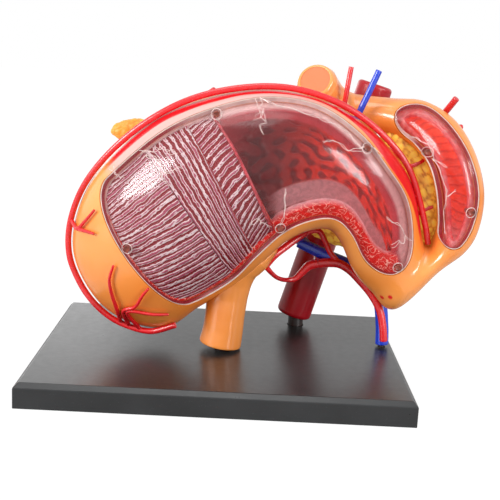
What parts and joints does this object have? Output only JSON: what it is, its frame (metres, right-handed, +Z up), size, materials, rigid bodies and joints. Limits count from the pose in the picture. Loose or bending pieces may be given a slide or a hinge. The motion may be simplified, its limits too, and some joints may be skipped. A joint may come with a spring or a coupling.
{
  "type": "stomach anatomy model",
  "caption": "Sectioned stomach and duodenum with clear lift-off front covers, peeled muscle layers, pancreas and main vessels, held on pegs over a flat stand.",
  "frame": {"origin": "centre of the stand's underside", "axes": "+X along the stand's length towards the duodenum, +Y towards the back, +Z up"},
  "size_m": [0.1555, 0.1, 0.1117],
  "materials": {
    "stand": "glossy black moulded plastic",
    "organ_wall": "satin orange moulded plastic, paler where it catches light",
    "lining": "glossy painted red mucosa, darker between its folds",
    "muscle": "painted dark red with pale fibres",
    "pancreas": "lumpy ochre moulded plastic",
    "aorta": "glossy dark red",
    "artery": "glossy bright red",
    "vein": "glossy blue",
    "clear_cover": "clear moulded plastic with faint raised vessels",
    "pin": "brown red"
  },
  "bodies": {
    "stand": {"display_stand": "stand", "oesophagus_peg": "stand", "aorta_peg": "stand", "portal_vein_peg": "stand"},
    "organs": {"stomach_rear_shell": "organ_wall", "stomach_lining": "lining", "longitudinal_muscle": "muscle", "circular_muscle": "muscle", "oblique_muscle": "muscle", "duodenum_rear_shell": "organ_wall", "duodenum_lining": "lining", "jejunum_stub": "organ_wall", "oesophagus": "organ_wall", "pancreas": "pancreas", "aorta": "aorta", "portal_vein": "vein", "hepatic_artery": "artery", "left_gastric_artery": "artery", "splenic_artery": "artery", "short_gastric_artery": "artery", "superior_mesenteric_artery": "artery", "superior_mesenteric_vein": "vein", "gastroepiploic_artery": "artery", "colic_artery": "artery", "pancreatic_artery_upper": "artery", "pancreatic_artery_lower": "artery"},
    "stomach_cover": {"stomach_front_cover": "clear_cover", "stomach_cover_pin_1": "pin", "stomach_cover_pin_2": "pin", "stomach_cover_pin_3": "pin", "stomach_cover_pin_4": "pin", "stomach_cover_pin_5": "pin"},
    "duodenum_cover": {"duodenum_front_cover": "clear_cover", "duodenum_cover_pin_1": "pin", "duodenum_cover_pin_2": "pin"}
  },
  "joints": [
    {"name": "organs_lift", "type": "slide", "parent": "stand", "child": "organs", "axis": [0, 0, 1], "range_m": [0, 0.04]},
    {"name": "stomach_cover_pull", "type": "slide", "parent": "organs", "child": "stomach_cover", "axis": [0, -1, 0], "range_m": [0, 0.05]},
    {"name": "duodenum_cover_pull", "type": "slide", "parent": "organs", "child": "duodenum_cover", "axis": [0, -1, 0], "range_m": [0, 0.04]}
  ]
}
